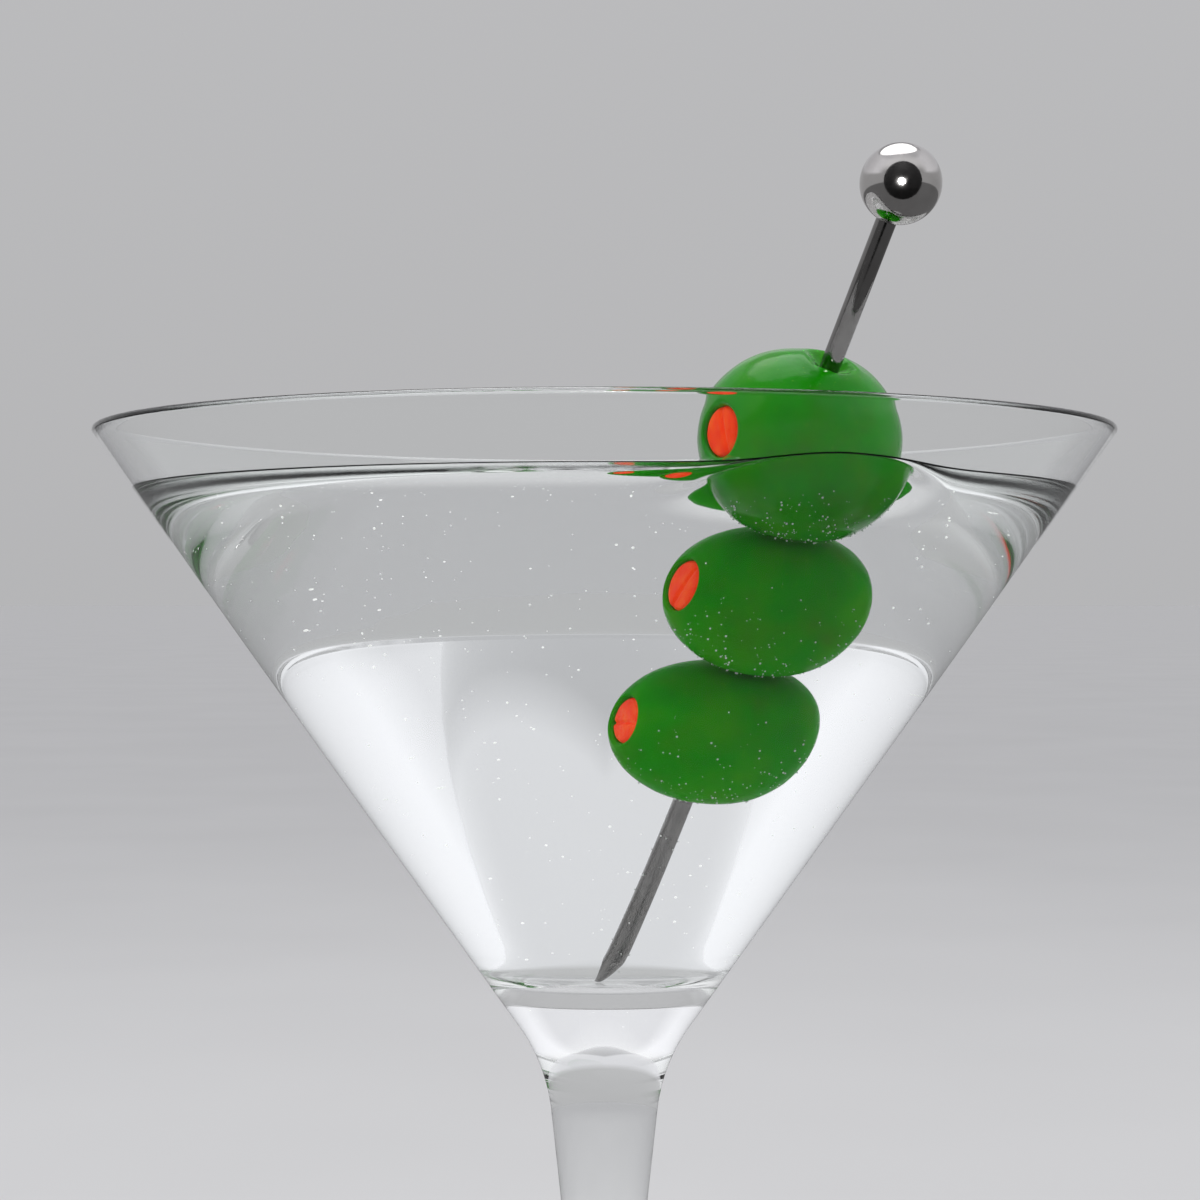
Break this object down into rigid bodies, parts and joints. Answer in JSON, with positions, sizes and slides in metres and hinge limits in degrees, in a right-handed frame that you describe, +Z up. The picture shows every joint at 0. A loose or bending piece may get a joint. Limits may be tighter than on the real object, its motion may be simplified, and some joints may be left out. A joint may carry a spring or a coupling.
{
  "type": "cocktail in a stemmed glass",
  "caption": "Clear cocktail in a conical stemmed glass, with stuffed green olives skewered on a ball-ended steel pick.",
  "frame": {"origin": "centre of the glass's foot, on the surface that it stands on", "axes": "+Z up the glass's axis, -Y the side that the pick leans to, +X to the right when seen from that side"},
  "size_m": [0.116, 0.116, 0.1948],
  "materials": {
    "clear_glass": "polished",
    "clear_drink": "clear liquid",
    "olive_flesh": "moist, smooth",
    "red_pimento": "moist, soft",
    "steel": "polished"
  },
  "bodies": {
    "root": {"glass": "clear_glass", "drink": "clear_drink", "olive_bottom": "olive_flesh", "olive_middle": "olive_flesh", "olive_top": "olive_flesh", "pimento_bottom": "red_pimento", "pimento_middle": "red_pimento", "pimento_top": "red_pimento", "pick_rod": "steel", "pick_ball": "steel"}
  },
  "joints": []
}
